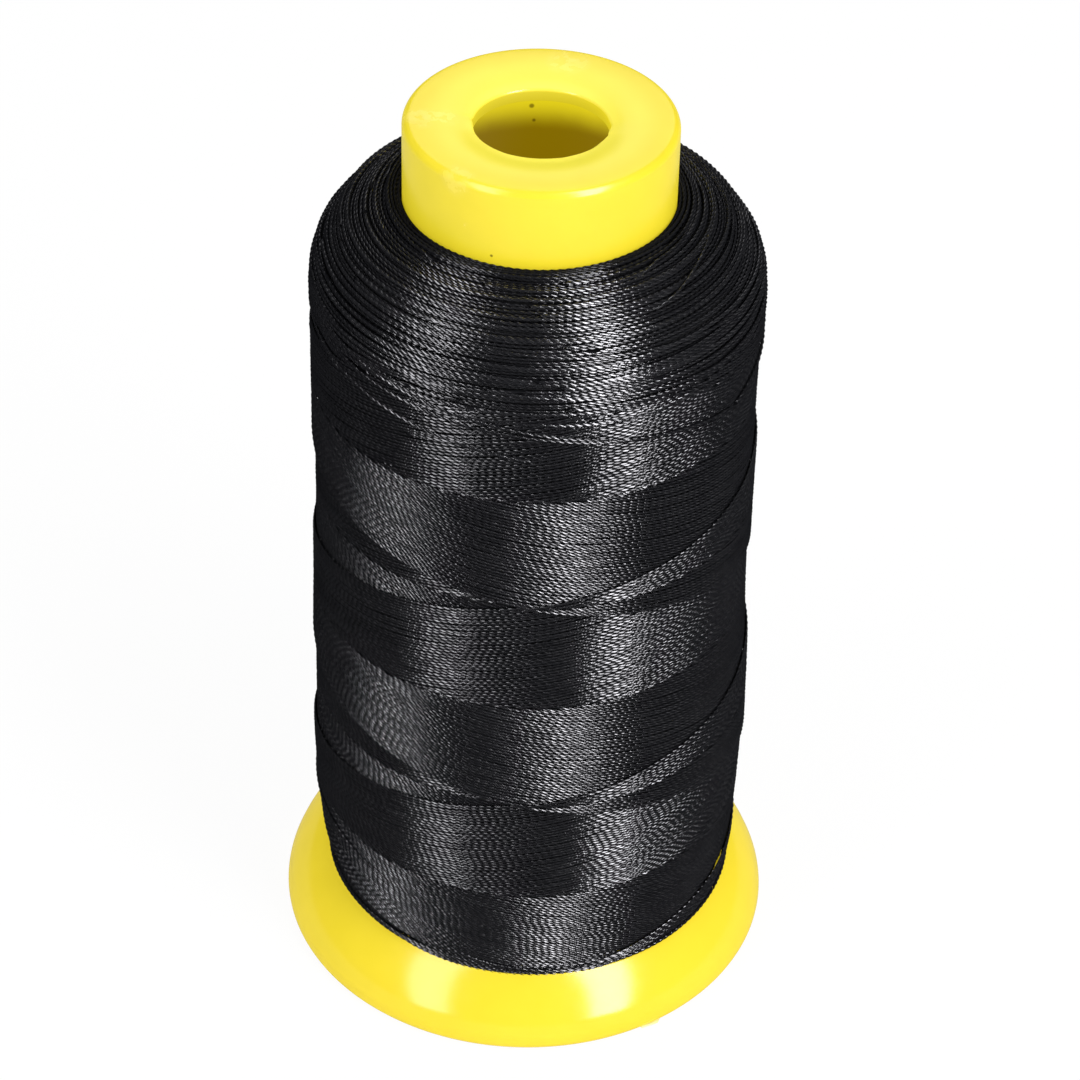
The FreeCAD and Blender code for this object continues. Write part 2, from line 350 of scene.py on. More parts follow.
def turned(corners, steps):
    """Spin a closed outline round Z. A corner is (radius, height, rounding, segments)."""
    mesh = bmesh.new()
    outline = [mesh.verts.new((radius, 0, height)) for radius, height, *_ in corners]
    for start, end in zip(outline, outline[1:] + outline[:1]):
        mesh.edges.new((start, end))
    for corner, (*_, rounding, segments) in zip(outline, corners):
        if rounding:
            bmesh.ops.bevel(mesh, geom=[corner], offset=rounding, offset_type="OFFSET", segments=segments,
                            profile=0.5, affect="VERTICES", material=-1)
    bmesh.ops.spin(mesh, geom=mesh.verts[:] + mesh.edges[:], cent=(0, 0, 0), axis=(0, 0, 1),
                   angle=TURN, steps=steps, use_merge=True)
    bmesh.ops.recalc_face_normals(mesh, faces=mesh.faces)
    return mesh


class ThreadBundle:
    """Twisted threads, each a closed tube along a path on the package, gathered in one mesh."""

    HALF_ROUND = np.radians([0, 45, 90, 135, 180])
    FULL_ROUND = np.radians(np.arange(0, 360, 45))

    def __init__(self):
        self.mesh = bmesh.new()
        self.lay = self.mesh.verts.layers.float_vector.new("lay")

    def make_tube(self, rows, columns):
        """An upright tube: its vertices, and the row and the column that each of them is in."""
        first = len(self.mesh.verts)
        tube = bmesh.ops.create_cone(self.mesh, cap_ends=True, cap_tris=False, segments=columns,
                                     radius1=1, radius2=1, depth=rows - 1)["verts"]
        long_edges = {edge for vert in tube for edge in vert.link_edges
                      if abs(edge.verts[0].co.z - edge.verts[1].co.z) > 0.5}
        bmesh.ops.subdivide_edges(self.mesh, edges=list(long_edges), cuts=rows - 2, use_grid_fill=True)
        self.mesh.verts.ensure_lookup_table()
        verts = self.mesh.verts[first:]
        grid = np.array([vert.co[:] for vert in verts])
        row = np.rint(grid[:, 2] + (rows - 1) / 2).astype(int)
        around = np.arctan2(grid[:, 1], grid[:, 0])
        column = np.rint((around - around[0]) / (TURN / columns)).astype(int) % columns
        return verts, row, column

    def add(self, path, length, angles=HALF_ROUND, radius=THREAD_RADIUS):
        """Lay a thread; path turns distances along it into azimuth, distance up and proudness."""
        start = -random.uniform(0, 2) * ROW_GAP
        rows = max(3, int(length / ROW_GAP) + 1)
        verts, row, column = self.make_tube(rows, len(angles))
        angle = angles[column]
        distance = start + row * ROW_GAP + (angle - math.pi / 2) / TURN * TWIST_PITCH
        azimuth, along, proud = path(distance)
        centre = on_package(azimuth, along, proud)
        onward = on_package(*path(distance + LOOK_AHEAD)) - centre
        onward /= np.linalg.norm(onward, axis=1, keepdims=True)
        up = package_normal(azimuth, along)
        side = np.cross(up, onward)
        side /= np.linalg.norm(side, axis=1, keepdims=True)
        outward = side * np.cos(angle)[:, None] + up * np.sin(angle)[:, None]
        size = radius * np.where(row % 2 == 0, 1.0, PLY_VALLEY)
        places = centre + outward * size[:, None]
        lay = np.stack([row / 2, outward[:, 2], np.full(len(row), random.uniform(0, 1))], axis=1)
        for vert, place, lies in zip(verts, places.tolist(), lay.tolist()):
            vert.co = place
            vert[self.lay] = lies


def wander(scale, wave_low, wave_high):
    """A slow random drift along one thread."""
    waves = random.uniform(wave_low, wave_high, 2)
    phases = random.uniform(0, TURN, 2)
    sizes = scale * random.uniform(0.3, 1.0, 2)
    return lambda distance: sum(size * np.sin(TURN * distance / wave + phase)
                                for size, wave, phase in zip(sizes, waves, phases))


# ---------------------------------------------------------------- materials

class Amount:
    """A socket that is used as a number in plain expressions."""

    def __init__(self, finish, socket):
        self.finish = finish
        self.socket = socket

    def maths(self, operation, *others):
        node = self.finish.node("ShaderNodeMath", {"operation": operation})
        for place, item in enumerate((self, *others)):
            self.finish.feed(node.inputs[place], item)
        return Amount(self.finish, node.outputs[0])

    def __add__(self, other):
        return self.maths("ADD", other)

    def __sub__(self, other):
        return self.maths("SUBTRACT", other)

    def __rsub__(self, other):
        return (self * -1) + other

    def __mul__(self, other):
        return self.maths("MULTIPLY", other)

    def __truediv__(self, other):
        return self.maths("DIVIDE", other)

    def __pow__(self, other):
        return self.maths("POWER", other)

    __radd__ = __add__
    __rmul__ = __mul__

    def held(self):
        """Keep the number between 0 and 1."""
        return self.maths("MINIMUM", 1.0).maths("MAXIMUM", 0.0)

    def ramp(self, start, end):
        """0 up to start, 1 from end on, and a smooth rise between them."""
        share = ((self - start) / (end - start)).held()
        return share * share * (3 - share * 2)


class Finish:
    """A material with one Principled shader."""

    def __init__(self, name, **constants):
        self.material = bpy.data.materials.new(name)
        self.material.use_nodes = True
        self.tree = self.material.node_tree
        self.shader = self.tree.nodes["Principled BSDF"]
        for socket, value in constants.items():
            self.dress(socket.replace("_", " "), value)

    def feed(self, socket, item):
        if isinstance(item, Amount):
            item = item.socket
        if isinstance(item, bpy.types.NodeSocket):
            self.tree.links.new(item, socket)
        else:
            socket.default_value = item

    def dress(self, socket, item):
        """Give the shader a value, or a link to what varies over the surface."""
        self.feed(self.shader.inputs[socket], item)

    def node(self, kind, settings=None, values=None):
        """Add a node: its settings first, then the values or links of its sockets."""
        node = self.tree.nodes.new(kind)
        for setting, value in (settings or {}).items():
            setattr(node, setting, value)
        for socket, item in (values or {}).items():
            self.feed(node.inputs[socket], item)
        return node

    def vector(self, operation, *items):
        """Vector maths on some vectors; gives the node."""
        return self.node("ShaderNodeVectorMath", {"operation": operation}, dict(enumerate(items)))

    def mix(self, share, first, second):
        """Blend two colours."""
        node = self.node("ShaderNodeMix", {"data_type": "RGBA"})
        colours = [socket for socket in node.inputs if socket.type == "RGBA"]
        self.feed(node.inputs[0], share)
        self.feed(colours[0], first)
        self.feed(colours[1], second)
        return next(socket for socket in node.outputs if socket.type == "RGBA")

    def mix_shaders(self, share, first, second):
        """Let the surface be a blend of two shaders."""
        both = self.node("ShaderNodeMixShader", values={0: share, 1: first.outputs[0], 2: second.outputs[0]})
        self.feed(self.tree.nodes["Material Output"].inputs["Surface"], both.outputs[0])

    def where(self):
        """Object coordinates, as a vector."""
        return self.node("ShaderNodeTexCoord").outputs["Object"]

    def split(self, vector):
        """The three numbers of a vector."""
        node = self.node("ShaderNodeSeparateXYZ", values={0: vector})
        return [Amount(self, socket) for socket in node.outputs]

    def lay(self):
        """Of a thread: plies passed along it, how far a place looks up, and its own random number."""
        return self.split(self.node("ShaderNodeAttribute", {"attribute_name": "lay"}).outputs["Vector"])

    def noise(self, where, scale, detail=2.0):
        node = self.node("ShaderNodeTexNoise", values={"Vector": where, "Scale": scale, "Detail": detail})
        return Amount(self, node.outputs["Fac"])

    def random(self, x, y):
        """A random number that stays the same wherever x and y do."""
        place = self.node("ShaderNodeCombineXYZ", values={"X": x, "Y": y})
        white = self.node("ShaderNodeTexWhiteNoise", {"noise_dimensions": "2D"}, {"Vector": place.outputs[0]})
        return Amount(self, white.outputs["Value"])

    def near(self, where, places):
        """1 at any of some places, given as x, y, z and reach in mm, and 0 beyond their reach."""
        nearness = 0
        for *place, reach in places:
            gap = self.vector("DISTANCE", where, [part * MM for part in place]).outputs["Value"]
            nearness = (1 - Amount(self, gap) / (reach * MM)).held() + nearness
        return nearness.held()

    def bump(self, height, strength, distance, normal=None):
        values = {"Height": height, "Strength": strength, "Distance": distance}
        bump = self.node("ShaderNodeBump", values=values)
        if normal:
            self.feed(bump.inputs["Normal"], normal)
        self.dress("Normal", bump.outputs["Normal"])


def moulded_plastic():
    """Bright yellow polyethylene: glossy and a little cloudy, with a glow of painted light, and painted shade
    inside where the thread shades it.
    """
    finish = Finish("core_yellow_plastic", Specular_IOR_Level=0.8, Emission_Strength=1.0)
    where = finish.where()
    x, y, z = finish.split(where)
    radius = (x * x + y * y) ** 0.5
    ripple = finish.noise(where, scale=260.0)
    cloud = finish.noise(where, scale=55.0, detail=3.0) * 0.6 + ripple * 0.4
    scuffs = finish.noise(where, scale=900.0, detail=4.0)
    smears_and_rim_highlight = finish.near(where, PALE_SMEARS_AND_RIM_HIGHLIGHT) * finish.noise(where, scale=700.0, detail=3.0).ramp(0.35, 0.62)
    specks = finish.near(where, DARK_SPECKS).ramp(0.0, 0.6)

    # Painted highlight: a paler ring round the hole's edge.
    painted_hole_ring = (1 - radius.ramp(*PAINTED_RING_EDGE)) * z.ramp(PACKAGE_TOP, TOTAL_HEIGHT)
    # Painted light that lifts the shade round the crown's dip.
    crown = z.ramp(*CROWN_START) * (1 - radius.ramp(*CROWN_RIM))
    inside = 1 - radius.ramp(*INNER_WALL_EDGE)
    barrel = inside * (1 - z.ramp(*BARREL_CEILING)) * z.ramp(*BARREL_FLOOR)
    cut = (1 - radius.ramp(*CUT_EDGE)) * (1 - z.ramp(*CUT_TOP)) * z.ramp(*CUT_BOTTOM)
    # Inside the barrel and on the cut, the colour is painted light and painted shade.
    hidden = (barrel + cut).held()
    # Painted shade below the package's top, where the thread shades the inside.
    deep = 1 - (z + (cloud - 0.5) * SHADE_RAGGEDNESS).ramp(*SHADE_INSIDE)
    collar = z.ramp(*COLLAR_START)

    surface = finish.mix(cloud.ramp(0.3, 0.7), YELLOW_DULL, YELLOW_CLEAR)
    # Paler smears, and a painted highlight on the crown's left rim.
    surface = finish.mix(smears_and_rim_highlight * 0.35, surface, YELLOW_SMEAR_AND_HIGHLIGHT)
    surface = finish.mix(painted_hole_ring * 0.5, surface, YELLOW_PAINTED_RING)
    surface = finish.mix(hidden, surface, finish.mix(deep, YELLOW_LIT_INSIDE, YELLOW_SHADED_INSIDE))
    surface = finish.mix(specks * 0.85, surface, SPECK_BROWN)
    finish.dress("Base Color", surface)

    # Painted light on the collar and the flange evens out their shade.
    glow = finish.mix(collar, GLOW_FLANGE, GLOW_COLLAR)
    glow = finish.mix(crown, glow, PAINTED_CROWN_LIGHT)
    glow = finish.mix(hidden, glow, finish.mix(deep, GLOW_LIT_INSIDE, GLOW_SHADED_INSIDE))
    # The knife's cut is coloured by painted light, brighter towards its top.
    painted_light_in_cut = finish.mix(z.ramp(HOLE_EDGE_HEIGHT - WALL, HOLE_EDGE_HEIGHT), GLOW_CUT_LOW, GLOW_CUT_HIGH)
    glow = finish.mix(cut, glow, painted_light_in_cut)
    glow = finish.mix(specks * 0.7, glow, NO_GLOW)
    finish.dress("Emission Color", glow)

    finish.dress("Roughness", 0.13 + scuffs * 0.08 + smears_and_rim_highlight * 0.15 + collar * 0.06 + hidden * 0.5)
    finish.bump(ripple, strength=0.06, distance=0.15 * MM)
    return finish.material


def thin_flash():
    """The same plastic where it is thin enough to let light through, with a glow of painted light that keeps
    it pale in the flange's shade.
    """
    finish = Finish("thin_yellow_plastic", Specular_IOR_Level=0.5, Roughness=0.35,
                    Emission_Color=GLOW_FLASH, Emission_Strength=1.0)
    cloud = finish.noise(finish.where(), scale=600.0).ramp(0.3, 0.7)
    finish.dress("Base Color", finish.mix(cloud, FLASH_DULL, FLASH_CLEAR))
    return finish.material


def black_thread():
    """Black polyester filament: silky on each ply, matt in the grooves and seen edge on.

    The winding presses the plies flat, so that their flanks look up more than a round thread's
    do. The fine fibres shade one another between the plies and at a low angle. They don't lie
    quite along the thread, so their sheen sits a little to one side.
    """
    finish = Finish("black_satin_thread", IOR=1.9, Specular_IOR_Level=0.95, Specular_Tint=SHEEN_TINT,
                    Anisotropic=0.6, Anisotropic_Rotation=0.25)
    where = finish.where()
    x, y, z = finish.split(where)
    plies, looks_up, own = finish.lay()
    radius = (x * x + y * y) ** 0.5
    patches = finish.noise(where, scale=160.0)
    colour = finish.mix((patches * 0.6 + own * 0.4).ramp(0.3, 0.7), THREAD_DARK, THREAD_LIGHT)
    finish.dress("Base Color", colour)
    finish.dress("Roughness", 0.13 + patches * 0.06)

    across = (plies + 0.5).maths("FRACT") - 0.5
    crest = 1 - across * across * PLY_ROUNDNESS
    flattened = (looks_up * 0.5 - 0.42) * looks_up * (THREAD_RADIUS / PLY_BUMP)
    lean = {"X": y * -FIBRE_LEAN / radius, "Y": x * FIBRE_LEAN / radius}
    onward = finish.node("ShaderNodeCombineXYZ", values=lean).outputs[0]
    straight = finish.node("ShaderNodeNewGeometry").outputs["Normal"]
    leaning = finish.vector("NORMALIZE", finish.vector("ADD", straight, onward).outputs[0]).outputs[0]
    finish.bump(crest + flattened, strength=1.0, distance=PLY_BUMP, normal=leaning)

    stroke = finish.random((plies + 0.5).maths("FLOOR"), (own * STROKE_SEEDS).maths("FLOOR"))
    edge_on = Amount(finish, finish.node("ShaderNodeLayerWeight", values={"Blend": 0.5}).outputs["Facing"])
    beside_collar = (1 - radius / NECK_RADIUS).held().ramp(*NECK_CLOSENESS) * z.ramp(*NECK_START)
    silky = crest.ramp(*SHEEN_ON_PLY) * (SHEEN_LEAST + stroke * SHEEN_STROKES)
    silky = silky * (1 - edge_on.ramp(*SHEEN_EDGE_ON) * EDGE_DULLING)
    silky = silky * (1 + z.ramp(*SHOULDER_START) * SHOULDER_BRIGHTENING)
    silky = silky * (1 - beside_collar * NECK_DULLING)
    matt = finish.node("ShaderNodeBsdfPrincipled", values={"Roughness": 1.0, "Specular IOR Level": 0.0})
    finish.feed(matt.inputs["Base Color"], colour)
    finish.mix_shaders(silky, matt, finish.shader)
    return finish.material


def dark_bed():
    """Deeper turns of the thread, seen only in the grooves between the outer ones."""
    finish = Finish("deep_black_thread", Specular_IOR_Level=0.2)
    where = finish.where()
    finish.dress("Base Color", finish.mix(finish.noise(where, scale=500.0), BED_DARK, BED_LIGHT))
    finish.dress("Roughness", 0.6 + finish.noise(where, scale=2000.0) * 0.2)
    return finish.material


core_yellow = moulded_plastic()
flash_yellow = thin_flash()
thread_black = black_thread()
bed_black = dark_bed()


# ---------------------------------------------------------------- the moulded core

def hole_radius(azimuth):
    """Radius of the hole in the crown: slightly oval, with the slips of the knife that cut it."""
    radius = BORE_RADIUS * (1 - BORE_OVALNESS * math.cos(2 * azimuth))
    for degrees, slip, spread in KNIFE_SLIPS:
        turned_by = abs((math.degrees(azimuth) - degrees + 180) % 360 - 180)
        radius += slip * MM * max(0, 1 - turned_by / spread)
    return radius


def make_core():
    """Flange, barrel and collar in one hollow wall, with a knife-cut hole in the crown."""
    crown_underside = TOTAL_HEIGHT - WALL
    hole_underside = HOLE_EDGE_HEIGHT - WALL
    barrel_radius = COLLAR_RADIUS - WALL
    cone_slope = (CONE_ROOT_HEIGHT - FLANGE_EDGE_HEIGHT) / (FLANGE_EDGE_RADIUS - COLLAR_RADIUS)
    cone_wall = WALL * math.hypot(1, cone_slope)
    inner_drop = WALL * cone_slope - cone_wall
    outside = [
        (BORE_RADIUS, 0, 0.3 * MM, 3),
        (FLANGE_RADIUS, 0, 1.2 * MM, 6),
        (FLANGE_RADIUS, FLANGE_WALL_HEIGHT, 0.7 * MM, 6),
        (FLANGE_EDGE_RADIUS, FLANGE_EDGE_HEIGHT, 3.7 * MM, 20),
        (COLLAR_RADIUS, CONE_ROOT_HEIGHT, 1.2 * MM, 6),
        (COLLAR_RADIUS, TOTAL_HEIGHT - CROWN_EDGE_DROP, 0.9 * MM, 10),
        (CROWN_FLAT_RADIUS, TOTAL_HEIGHT, 2.4 * MM, 8),
        (BORE_RADIUS, HOLE_EDGE_HEIGHT, 0.22 * MM, 3),
    ]
    inside = [
        (BORE_RADIUS, hole_underside, 0.12 * MM, 2),
        (CROWN_FLAT_RADIUS, crown_underside, 0.4 * MM, 3),
        (barrel_radius, crown_underside, 0.8 * MM, 5),
        (barrel_radius, PACKAGE_TOP, 0, 0),
        (barrel_radius, CONE_ROOT_HEIGHT + inner_drop, 0.8 * MM, 4),
        (FLANGE_EDGE_RADIUS - WALL, FLANGE_EDGE_HEIGHT + inner_drop, 2.6 * MM, 8),
        (FLANGE_RADIUS - WALL, WALL, 0.6 * MM, 4),
        (BORE_RADIUS, WALL, 0.12 * MM, 2),
    ]
    mesh = turned(outside + inside, CORE_STEPS)
    for vert in mesh.verts:
        radius = math.hypot(vert.co.x, vert.co.y)
        if vert.co.z > hole_underside - 0.1 * MM and radius < BORE_RADIUS + SLIP_REACH:
            share = min(1, (BORE_RADIUS + SLIP_REACH - radius) / SLIP_FADE)
            stretch = 1 + share * (hole_radius(math.atan2(vert.co.x, -vert.co.y)) / BORE_RADIUS - 1)
            vert.co.x *= stretch
            vert.co.y *= stretch
    return finish_piece(mesh, "moulded_core", core_yellow, ["spool_core"])


def make_rim_flash():
    """A thin sliver of flash that the mould left on the flange's lower edge."""
    mesh = bmesh.new()
    sheet = bmesh.ops.create_grid(mesh, x_segments=10, y_segments=2, size=1)["verts"]
    for vert in sheet:
        along = (vert.co.x + 1) / 2
        out = (vert.co.y + 1) / 2
        azimuth = math.radians(np.interp(along, FLASH_SHARES, FLASH_AZIMUTHS))
        reach = float(np.interp(along, FLASH_SHARES, FLASH_REACHES)) * MM
        radius = FLANGE_RADIUS - FLASH_ROOT_DEPTH + reach * out
        height = FLASH_HEIGHT + FLASH_LIFT * out * along
        vert.co = (radius * math.sin(azimuth), -radius * math.cos(azimuth), height)
    bmesh.ops.solidify(mesh, geom=mesh.verts[:] + mesh.edges[:] + mesh.faces[:], thickness=FLASH_THICKNESS)
    bmesh.ops.recalc_face_normals(mesh, faces=mesh.faces)
    return finish_piece(mesh, "rim_flash", flash_yellow)


# ---------------------------------------------------------------- the wound thread

def make_bed():
    """The mass of the thread under the outermost turns."""
    picks = np.linspace(PACKAGE_FOOT + BED_FOOT_GAP, COLLAR_ALONG - BED_COLLAR_GAP, 70)
    radii = np.interp(picks, ALONG, RADIUS) - BED_DEPTH * np.interp(picks, ALONG, NORMAL_OUT)
    heights = np.interp(picks, ALONG, HEIGHT) - BED_DEPTH * np.interp(picks, ALONG, NORMAL_UP)
    outside = [(radius, height, 0, 0) for radius, height in zip(radii.tolist(), heights.tolist())
               if radius > COLLAR_RADIUS]
    barrel = COLLAR_RADIUS + BED_BARREL_GAP
    inside = [(barrel, outside[-1][1], 0, 0), (barrel, CONE_ROOT_HEIGHT + BED_ROOT_GAP, 0, 0)]
    mesh = turned(outside + inside, BED_STEPS)
    for vert in mesh.verts:
        spread = (math.hypot(vert.co.x, vert.co.y) - COLLAR_RADIUS) / (BODY_RADII[-1] - COLLAR_RADIUS)
        lean = float(np.interp(vert.co.z, LEAN_HEIGHTS, LEAN_ACROSS))
        vert.co.x += lean * min(1, max(0, spread))
    return finish_piece(mesh, "thread_bed", bed_black, ["thread_package"])


def lay_path(azimuth, height, age, rising):
    """Path of one turn of a family from just under a crossing to just past its next one.

    A thread keeps its own age. The age of the other family grows along it, and it lies on top
    where it is the younger one.
    """
    margin = LAY_OVERLAP * TURN / THREADS_PER_TURN
    wave = TURN / WIND_PITCH
    rate = 2 / math.hypot(BODY_RADII.mean(), 1 / wave)
    across = wander(*LAY_DRIFT_ACROSS)
    outward = wander(*LAY_DRIFT_OUTWARD)
    up = 1 if rising else -1

    def path(distance):
        other = age - margin + distance * rate
        turned_by = (age + other) / 2
        under = smooth_step(((age - other) * THREADS_PER_TURN / TURN + DIVE_REACH) / (2 * DIVE_REACH))
        proud = LAY_RELIEF * (1 - (age + other) / TURN) - LAY_DIVE * under
        along = height + up * (other - age) / (2 * wave) + across(distance)
        return azimuth + turned_by, along, proud + outward(distance) - THREAD_RADIUS

    return path, (TURN + 2 * margin - age) / rate


def make_lay(name, crossing, rising):
    """All turns of one family that start at one crossing of the winding."""
    height = FIRST_CROSSING_HEIGHT + crossing * WIND_PITCH / 2
    azimuth = FIRST_CROSSING_AZIMUTH + crossing * math.pi
    bundle = ThreadBundle()
    for turn in range(THREADS_PER_TURN):
        unevenness = random.uniform(-LAY_UNEVENNESS, LAY_UNEVENNESS)
        age = (turn + 0.5 + unevenness) * TURN / THREADS_PER_TURN
        path, length = lay_path(azimuth, height, age, rising)
        bundle.add(path, length)
    outside = [face for face in bundle.mesh.faces if not LAYS_START < face.calc_center_median().z < LAYS_END]
    bmesh.ops.delete(bundle.mesh, geom=outside, context="FACES")
    cut_ends = [edge for edge in bundle.mesh.edges if edge.is_boundary]
    bmesh.ops.holes_fill(bundle.mesh, edges=cut_ends, sides=12)
    return finish_piece(bundle.mesh, name, thread_black)


def level_path(along, azimuth, tilt, proud, lift=LEVEL_LIFT, drift=LEVEL_DRIFT_ACROSS):
    """A nearly level turn that starts at an azimuth and climbs by tilt a turn."""
    radius = float(np.interp(along, ALONG, RADIUS))
    across = wander(*drift)
    outward = wander(*LEVEL_DRIFT_OUTWARD)

    def path(distance):
        turned_by = distance / radius
        lifted = lift * (1 - np.cos(azimuth + turned_by))
        height = along + tilt * turned_by / TURN + lifted + across(distance)
        return azimuth + turned_by, height, proud + outward(distance) - THREAD_RADIUS

    return path, radius


def make_shoulder_fill():
    """Level turns close together round the shoulder, under the looser ones."""
    bundle = ThreadBundle()
    for along in np.arange(FILL_START, COLLAR_ALONG - FILL_END, FILL_GAP):
        path, radius = level_path(along, math.pi, FILL_GAP, random.uniform(*FILL_PROUDNESS) * MM)
        bundle.add(path, TURN * radius)
    return finish_piece(bundle.mesh, "shoulder_fill", thread_black)


def make_shoulder_turns():
    """Looser turns that lie over the shoulder where the winding turns back, each at its own height."""
    bundle = ThreadBundle()
    for gap, tilt, low, high, share in LOOSE_ROUNDS:
        along = LOOSE_START
        while along < COLLAR_ALONG - LOOSE_END:
            azimuth = random.uniform(0, TURN)
            climb = random.uniform(-tilt, tilt) * MM
            proud = random.uniform(low, high) * MM
            path, radius = level_path(along, azimuth, climb, proud, drift=LOOSE_DRIFT_ACROSS)
            length = random.uniform(*LOOSE_SHORTENING) * share * TURN * radius
            bundle.add(path, length, bundle.FULL_ROUND, THREAD_RADIUS * LOOSE_SWELL)
            along += random.uniform(*LOOSE_SPACING) * gap * MM
    return finish_piece(bundle.mesh, "shoulder_turns", thread_black)


def leaving_path(along, azimuth, climb, proud, rising):
    """Path of a strand that leaves the body at the winding's own slope and levels out on the shoulder."""
    reach = climb * TURN / WIND_PITCH
    radius = float(np.interp(along + climb / 2, ALONG, RADIUS))
    length = random.uniform(*LEAVING_SHARE) * TURN * radius
    across = wander(*LEAVING_DRIFT_ACROSS)

    def path(distance):
        turned_by = distance / radius
        from_body = turned_by if rising else length / radius - turned_by
        height = along + climb * (1 - np.exp(-from_body / reach)) + across(distance)
        return azimuth + turned_by, height, np.full_like(distance, proud - THREAD_RADIUS)

    return path, length


def make_leaving_strands():
    """Single strands that cross from the body to the shoulder, every other one falling."""
    bundle = ThreadBundle()
    for strand in range(LEAVING_STRANDS):
        along = random.uniform(*LEAVING_START) * MM
        azimuth = random.uniform(0, TURN)
        climb = random.uniform(*LEAVING_CLIMB) * MM
        proud = random.uniform(*LEAVING_PROUDNESS) * MM
        path, length = leaving_path(along, azimuth, climb, proud, rising=strand % 2 == 0)
        bundle.add(path, length, bundle.FULL_ROUND)
    return finish_piece(bundle.mesh, "leaving_strands", thread_black)


def make_foot_lay():
    """Last full turns of the thread, side by side round the foot of the package."""
    bundle = ThreadBundle()
    for above_foot, proud in FOOT_TURNS:
        azimuth = random.uniform(0, TURN)
        path, radius = level_path(PACKAGE_FOOT + above_foot * MM, azimuth, FOOT_TILT, proud * MM, lift=0.0)
        bundle.add(path, TURN * radius, bundle.FULL_ROUND)
    return finish_piece(bundle.mesh, "foot_lay", thread_black, ["foot_turns"])


def make_collar_lay():
    """Turns that lie loose close round the collar, each starting somewhere at the back."""
    bundle = ThreadBundle()
    for below_collar, proud, share in COLLAR_TURNS:
        azimuth = random.uniform(*COLLAR_TURN_START)
        tilt = random.uniform(*COLLAR_TURN_TILT)
        path, radius = level_path(COLLAR_ALONG - below_collar * MM, azimuth, tilt, proud * MM, lift=0.0)
        bundle.add(path, share * TURN * radius, bundle.FULL_ROUND)
    return finish_piece(bundle.mesh, "collar_lay", thread_black, ["collar_turns"])


def make_stray_thread(name, places):
    """A single thread that strays over the others; places are azimuth, mm up the outline and mm proud."""
    azimuths, alongs, prouds = np.array(places, dtype=float).T
    fine = np.linspace(azimuths[0], azimuths[-1], 300)
    smooth_alongs = eased(np.interp(fine, azimuths, alongs), 15)
    smooth_prouds = eased(np.interp(fine, azimuths, prouds), 15)
    radius = float(np.interp(alongs.mean() * MM, ALONG, RADIUS))

    def path(distance):
        degrees = azimuths[0] + np.degrees(distance / radius)
        along = np.interp(degrees, fine, smooth_alongs) * MM
        proud = np.interp(degrees, fine, smooth_prouds) * MM
        return np.radians(degrees), along, proud - THREAD_RADIUS

    bundle = ThreadBundle()
    length = math.radians(azimuths[-1] - azimuths[0]) * radius
    bundle.add(path, length, bundle.FULL_ROUND, THREAD_RADIUS * STRAY_THINNESS)
    return finish_piece(bundle.mesh, name, thread_black)


def make_sagging_threads():
    """Threads that leave the foot, hang in front of it and come back to it further round."""
    for turn in range(SAGGING_THREADS):
        low = SAG_LOWEST + SAG_STEP_UP * turn
        proud = SAG_PROUD - SAG_STEP_IN * turn
        make_stray_thread(f"sagging_thread_{turn + 1}", [
            (-44 - 4 * turn, 9.6, -0.1),
            (-30, low + 0.40, proud * 0.4),
            (-18, low + 0.12, proud * 0.8),
            (-5, low, proud),
            (10, low, proud),
            (22, low + 0.18, proud * 0.8),
            (38 + 3 * turn, 9.5, -0.1),
        ])


def down_from_collar(places):
    """Places of a stray thread, from ones whose second number is counted down from the collar."""
    return [(azimuth, COLLAR_ALONG / MM - down, proud) for azimuth, down, proud in places]


make_core()
make_rim_flash()
make_bed()
for number in range(1, CROSSINGS + 1):
    make_lay(f"rising_lay_{number}", number - 1, rising=True)
    make_lay(f"falling_lay_{number}", number, rising=False)
make_shoulder_fill()
make_shoulder_turns()
make_leaving_strands()
make_foot_lay()
make_collar_lay()
make_stray_thread("last_thread", LAST_THREAD)
make_sagging_threads()
make_stray_thread("stray_thread_low", LOW_STRAY)
make_stray_thread("stray_thread_high", down_from_collar(HIGH_STRAY))
make_stray_thread("stray_thread_neck", down_from_collar(NECK_STRAY))


# ---------------------------------------------------------------- stage, light and camera

def pale_floor():
    """Matt grey for the light and the shadow on it, and nearly white where it is seen or mirrored."""
    finish = Finish("pale_floor")
    matt = finish.node("ShaderNodeBsdfDiffuse", values={"Color": FLOOR_GREY})
    glow = finish.node("ShaderNodeEmission", values={"Color": WHITE})
    rays = finish.node("ShaderNodeLightPath")
    mirrored = Amount(finish, rays.outputs["Is Glossy Ray"])
    seen = Amount(finish, rays.outputs["Is Camera Ray"])
    seen = seen.maths("MAXIMUM", Amount(finish, rays.outputs["Is Transmission Ray"]))
    seen = seen.maths("MAXIMUM", mirrored)
    finish.feed(glow.inputs["Strength"], 1 - mirrored * FLOOR_MIRROR_LOSS)
    finish.mix_shaders(seen * FLOOR_SEEN, matt, glow)
    finish.tree.nodes.remove(finish.shader)
    return finish.material


def make_floor():
    """A plain pale floor that keeps the spool's soft shadow."""
    mesh = bmesh.new()
    bmesh.ops.create_grid(mesh, x_segments=1, y_segments=1, size=FLOOR_SIZE)
    bmesh.ops.translate(mesh, verts=mesh.verts, vec=(0, 0, -FLOOR_DROP))
    data = bpy.data.meshes.new("floor")
    mesh.to_mesh(data)
    mesh.free()
    data.materials.append(pale_floor())
    floor = bpy.data.objects.new("floor", data)
    bpy.context.scene.collection.objects.link(floor)


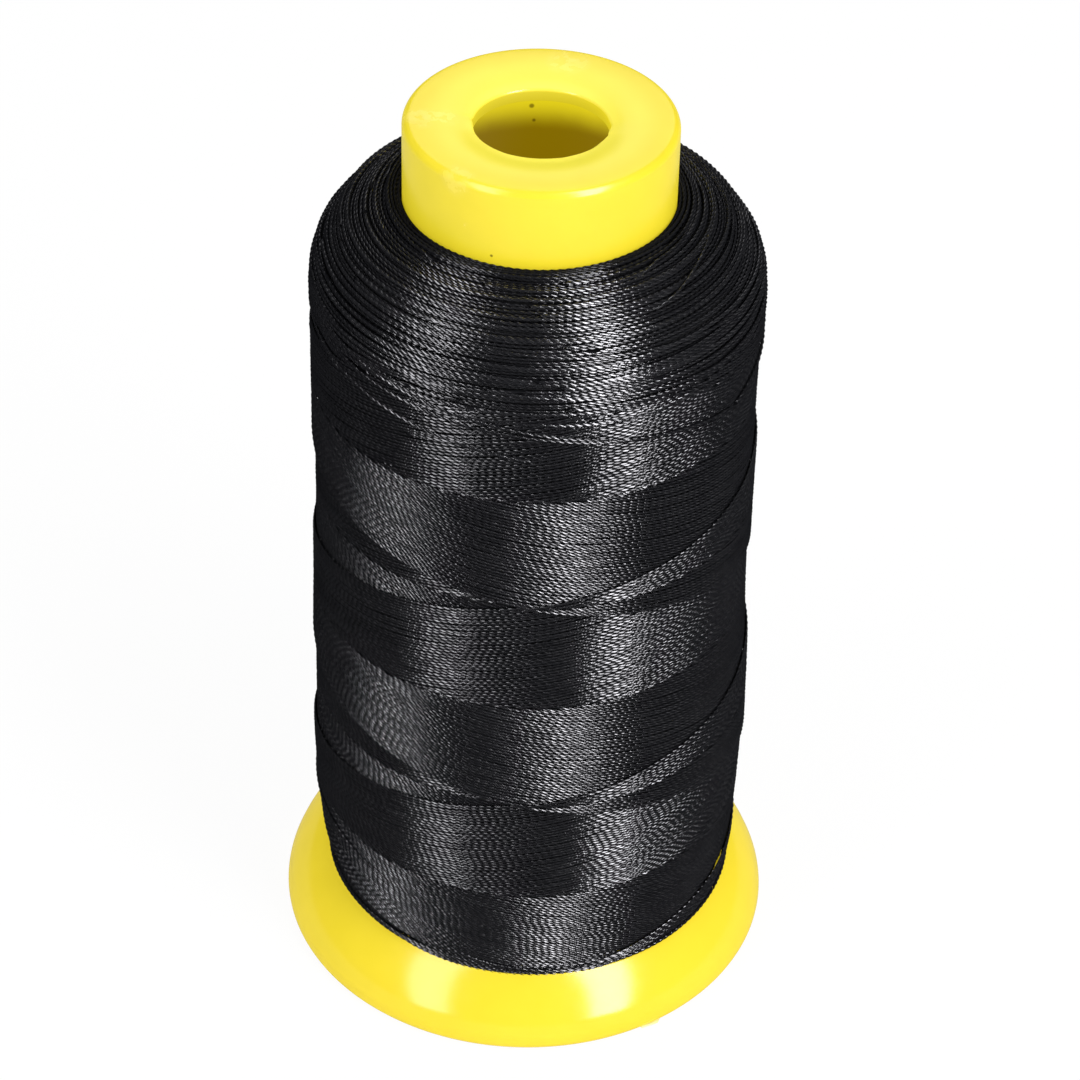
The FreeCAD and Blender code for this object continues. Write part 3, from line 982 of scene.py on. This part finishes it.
def make_softbox(name, azimuth, elevation, lean, distance, width, length, radiance):
    """A long soft light that faces the middle of the spool; azimuth, elevation and lean in degrees."""
    lamp = bpy.data.lights.new(name, "AREA")
    lamp.shape = "RECTANGLE"
    lamp.size = width
    lamp.size_y = length
    lamp.energy = radiance * math.pi * width * length
    turn = math.radians(azimuth)
    above = math.radians(elevation)
    towards = Vector((math.sin(turn) * math.cos(above), -math.cos(turn) * math.cos(above), math.sin(above)))
    aim = Matrix.Rotation(turn, 4, "Z") @ Matrix.Rotation(math.pi / 2 - above, 4, "X")
    aim = aim @ Matrix.Rotation(-math.radians(lean), 4, "Z")
    light = bpy.data.objects.new(name, lamp)
    light.matrix_world = Matrix.Translation(Vector((0, 0, TOTAL_HEIGHT / 2)) + towards * distance) @ aim
    bpy.context.scene.collection.objects.link(light)


def make_camera():
    """A long lens that looks down at the spool, a little out of level."""
    level = Vector((math.sin(CAMERA_YAW), math.cos(CAMERA_YAW), 0))
    ahead = level * math.cos(CAMERA_PITCH) - Vector((0, 0, math.sin(CAMERA_PITCH)))
    right = Vector((math.cos(CAMERA_YAW), -math.sin(CAMERA_YAW), 0))
    up = right.cross(ahead)
    across = right * math.cos(CAMERA_ROLL) + up * math.sin(CAMERA_ROLL)
    upright = -right * math.sin(CAMERA_ROLL) + up * math.cos(CAMERA_ROLL)
    turn = Matrix((across, upright, -ahead)).transposed().to_4x4()
    lens = bpy.data.cameras.new("camera")
    lens.lens = LENS_LENGTH
    lens.sensor_width = SENSOR_WIDTH
    camera = bpy.data.objects.new("camera", lens)
    camera.matrix_world = Matrix.Translation(CAMERA_PLACE) @ turn
    bpy.context.scene.collection.objects.link(camera)
    bpy.context.scene.camera = camera


def make_world():
    """Even light from all round, with little of it left to mirror in the thread."""
    world = bpy.data.worlds.new("studio")
    world.use_nodes = True
    tree = world.node_tree
    rays = tree.nodes.new("ShaderNodeLightPath")
    strength = tree.nodes.new("ShaderNodeMapRange")
    strength.inputs["To Min"].default_value = MIRRORED_DAYLIGHT
    strength.inputs["To Max"].default_value = DAYLIGHT
    tree.links.new(rays.outputs["Is Diffuse Ray"], strength.inputs["Value"])
    tree.links.new(strength.outputs["Result"], tree.nodes["Background"].inputs["Strength"])
    tree.nodes["Background"].inputs["Color"].default_value = WHITE
    bpy.context.scene.world = world


make_floor()
for softbox in SOFTBOXES:
    make_softbox(*softbox)
make_camera()
make_world()
bpy.context.scene.view_settings.view_transform = "Standard"
